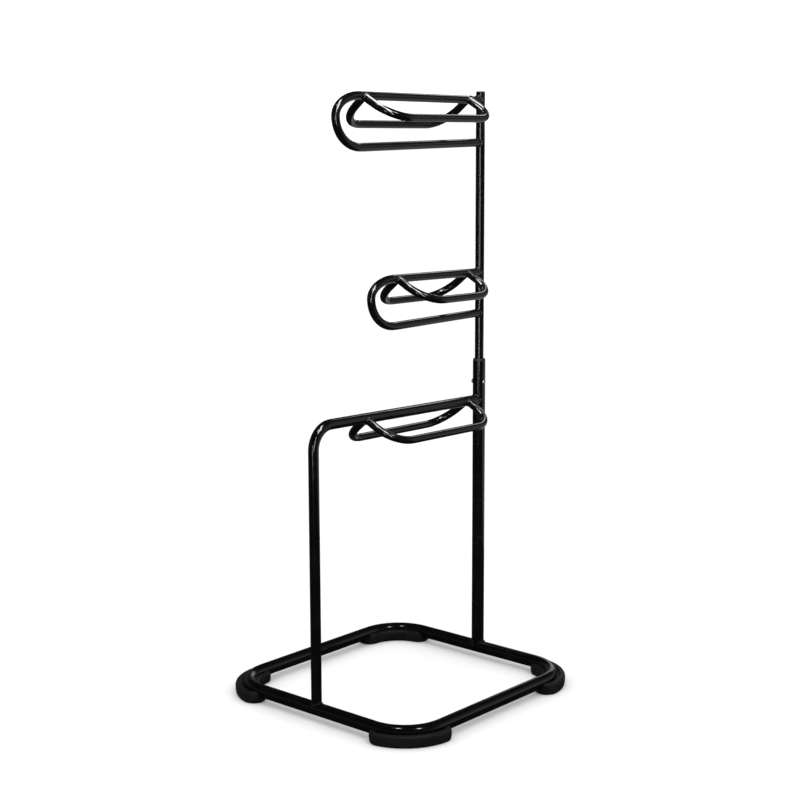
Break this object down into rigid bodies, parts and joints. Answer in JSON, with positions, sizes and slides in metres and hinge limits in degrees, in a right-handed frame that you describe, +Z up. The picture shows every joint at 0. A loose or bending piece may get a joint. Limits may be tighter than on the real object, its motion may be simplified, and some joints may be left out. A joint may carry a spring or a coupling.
{
  "type": "saddle rack",
  "caption": "Free-standing tiered saddle rack of bent black steel tube: ring base on rubber corner pads, rear mast, hairpin arms with sloping side hoops, and a front post under the lowest arm.",
  "frame": {"origin": "on the floor, under the middle of the base ring", "axes": "+Z up; the arms reach from the mast at +Y towards -Y, and the front post is at -Y; +X is the side of the right-hand hoops, to the right of someone who faces the arms' open ends"},
  "size_m": [0.6534, 0.6752, 1.4689],
  "materials": {
    "powder_coat": "gloss black powder coat over steel tube",
    "pad_rubber": "matte moulded black rubber",
    "black_plastic": "satin moulded black plastic",
    "zinc_plate": "bright zinc plating"
  },
  "bodies": {
    "root": {"base_ring": "powder_coat", "lower_mast": "powder_coat", "upper_mast": "powder_coat", "mast_flanged_bush": "black_plastic", "mast_inner_bush": "black_plastic", "mast_cap": "black_plastic", "mast_lock_bolt": "zinc_plate", "mast_lock_nut": "zinc_plate", "lower_arm_and_post": "powder_coat", "top_arm": "powder_coat", "middle_arm": "powder_coat", "top_left_hoop": "powder_coat", "top_right_hoop": "powder_coat", "middle_left_hoop": "powder_coat", "middle_right_hoop": "powder_coat", "lower_left_hoop": "powder_coat", "lower_right_hoop": "powder_coat", "foot_pad_front_right": "pad_rubber", "pad_screw_front_right_a": "zinc_plate", "pad_screw_front_right_b": "zinc_plate", "foot_pad_rear_right": "pad_rubber", "pad_screw_rear_right_a": "zinc_plate", "pad_screw_rear_right_b": "zinc_plate", "foot_pad_rear_left": "pad_rubber", "pad_screw_rear_left_a": "zinc_plate", "pad_screw_rear_left_b": "zinc_plate", "foot_pad_front_left": "pad_rubber", "pad_screw_front_left_a": "zinc_plate", "pad_screw_front_left_b": "zinc_plate"}
  },
  "joints": []
}
